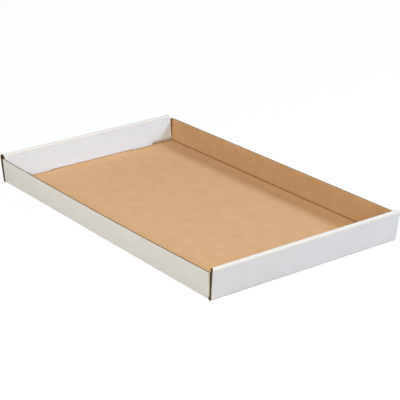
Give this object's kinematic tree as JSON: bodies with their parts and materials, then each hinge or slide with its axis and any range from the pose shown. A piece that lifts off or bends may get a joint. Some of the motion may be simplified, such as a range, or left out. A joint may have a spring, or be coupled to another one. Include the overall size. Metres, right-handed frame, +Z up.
{
  "type": "corrugated cardboard tray",
  "caption": "Shallow die-cut corrugated tray, white outside and brown inside, with single long walls and short ends rolled over and locked into the floor.",
  "frame": {"origin": "centre of the tray's footprint, on the surface that it stands on", "axes": "+X along the tray to one rolled end, +Y across it to the straighter long wall, +Z up"},
  "size_m": [0.6374, 0.3726, 0.051],
  "materials": {
    "board": "matt"
  },
  "bodies": {
    "root": {"folded_tray": "board"}
  },
  "joints": []
}
